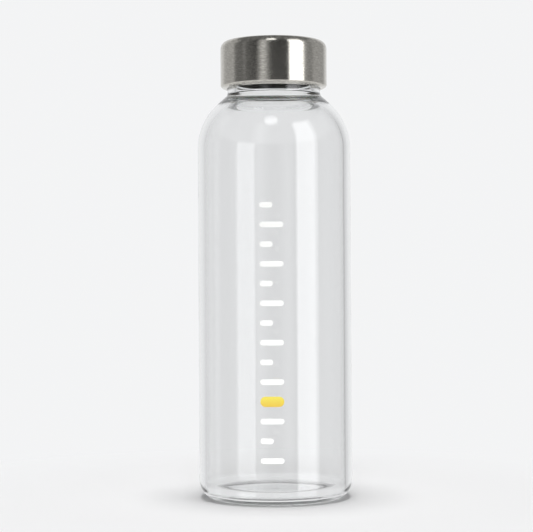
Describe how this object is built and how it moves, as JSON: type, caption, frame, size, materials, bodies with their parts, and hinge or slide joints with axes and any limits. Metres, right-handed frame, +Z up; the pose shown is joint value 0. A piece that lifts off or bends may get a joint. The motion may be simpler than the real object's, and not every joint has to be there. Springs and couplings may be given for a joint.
{
  "type": "glass water bottle",
  "caption": "Clear glass water bottle with a straight round body, rounded shoulder, printed volume scale and a brushed steel screw cap with a threaded liner and silicone seal.",
  "frame": {"origin": "centre of the circle that the bottle stands on, at the foot", "axes": "+Z up the bottle's axis towards the cap; -Y is the side with the printed scale; +X to the right when facing the scale"},
  "size_m": [0.068, 0.0681, 0.203],
  "materials": {
    "clear_glass": "clear and smooth, with a faint grey-green tint in the thick base",
    "white_ink": "fired white screen-print ink",
    "yellow_ink": "fired golden-yellow screen-print ink",
    "silicone": "matt translucent silicone",
    "brushed_steel": "satin, brushed round the side and turned on the top",
    "dark_plastic": "moulded polypropylene, satin",
    "adhesive": "set glue"
  },
  "bodies": {
    "bottle": {"glass_bottle": "clear_glass", "print_scale": "white_ink", "print_accent": "yellow_ink"},
    "seal": {"seal_ring": "silicone"},
    "cap": {"cap_shell": "brushed_steel", "cap_liner": "dark_plastic", "liner_adhesive": "adhesive"}
  },
  "joints": [
    {"name": "cap_lift", "type": "slide", "parent": "bottle", "child": "seal", "axis": [0, 0, 1], "range_m": [0, 0.024]},
    {"name": "cap_turn", "type": "hinge", "parent": "seal", "child": "cap", "pos_m": [0, 0, 0.19], "axis": [0, 0, 1], "range_deg": [0, 1080]}
  ],
  "couplings": [
    {"joint": "cap_lift", "follows": "cap_turn", "m_per_rad": 0.0012732}
  ]
}
